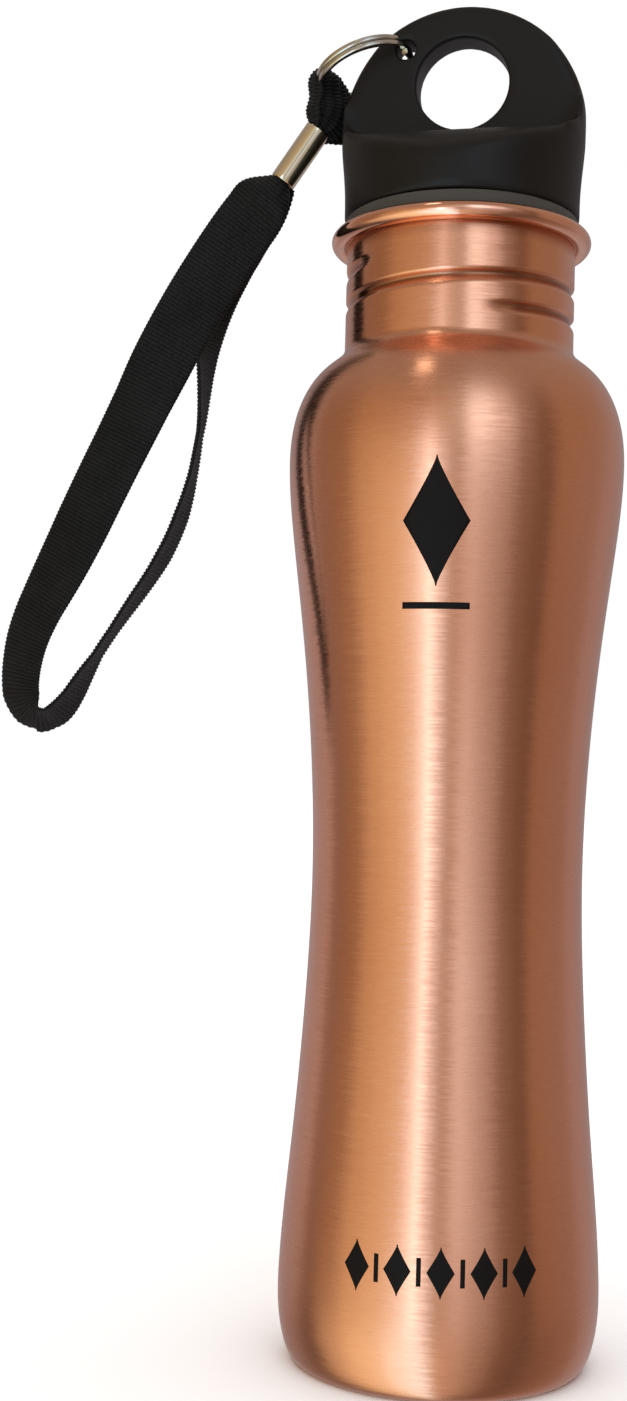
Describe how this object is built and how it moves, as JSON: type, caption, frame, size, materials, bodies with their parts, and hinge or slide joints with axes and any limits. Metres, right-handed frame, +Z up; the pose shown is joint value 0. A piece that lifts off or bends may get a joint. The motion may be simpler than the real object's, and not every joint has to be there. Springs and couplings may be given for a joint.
{
  "type": "water bottle",
  "caption": "Waisted copper water bottle with a screw cap that rises into a finger loop, a split ring and a webbing wrist strap.",
  "frame": {"origin": "centre of the foot, on the surface that the bottle stands on", "axes": "+Z up along the bottle, front towards -Y, the ring and the wrist strap hang on the -X side"},
  "size_m": [0.1325, 0.0699, 0.2822],
  "materials": {
    "copper": "brushed around the bottle and lacquered",
    "cap_plastic": "matte moulded black",
    "seal_rubber": "smooth grey silicone",
    "ring_steel": "bright nickel-plated wire",
    "ferrule_metal": "polished, warm nickel plate",
    "webbing": "ribbed black polyester webbing"
  },
  "bodies": {
    "bottle": {"bottle_body": "copper", "base_disc": "copper"},
    "gasket": {"cap_gasket": "seal_rubber"},
    "cap": {"cap_loop": "cap_plastic", "cap_plug": "cap_plastic"},
    "ring": {"split_ring": "ring_steel"},
    "lanyard": {"ring_tab": "webbing", "ferrule": "ferrule_metal", "wrist_strap": "webbing"}
  },
  "joints": [
    {"name": "cap_lift", "type": "slide", "parent": "bottle", "child": "gasket", "axis": [0, 0, 1], "range_m": [0, 0.0161]},
    {"name": "cap_turn", "type": "hinge", "parent": "gasket", "child": "cap", "pos_m": [0, 0, 0.2363], "axis": [0, 0, 1], "range_deg": [0, 900]},
    {"name": "ring_swing", "type": "hinge", "parent": "cap", "child": "ring", "pos_m": [-0.0122, 0, 0.2734], "axis": [0, 1, 0], "range_deg": [0, 100]},
    {"name": "strap_swing", "type": "hinge", "parent": "ring", "child": "lanyard", "pos_m": [-0.03104, 0, 0.26691], "axis": [0, 1, 0], "range_deg": [-4, 60]}
  ],
  "couplings": [
    {"joint": "cap_lift", "follows": "cap_turn", "m_per_rad": 0.0010186}
  ]
}
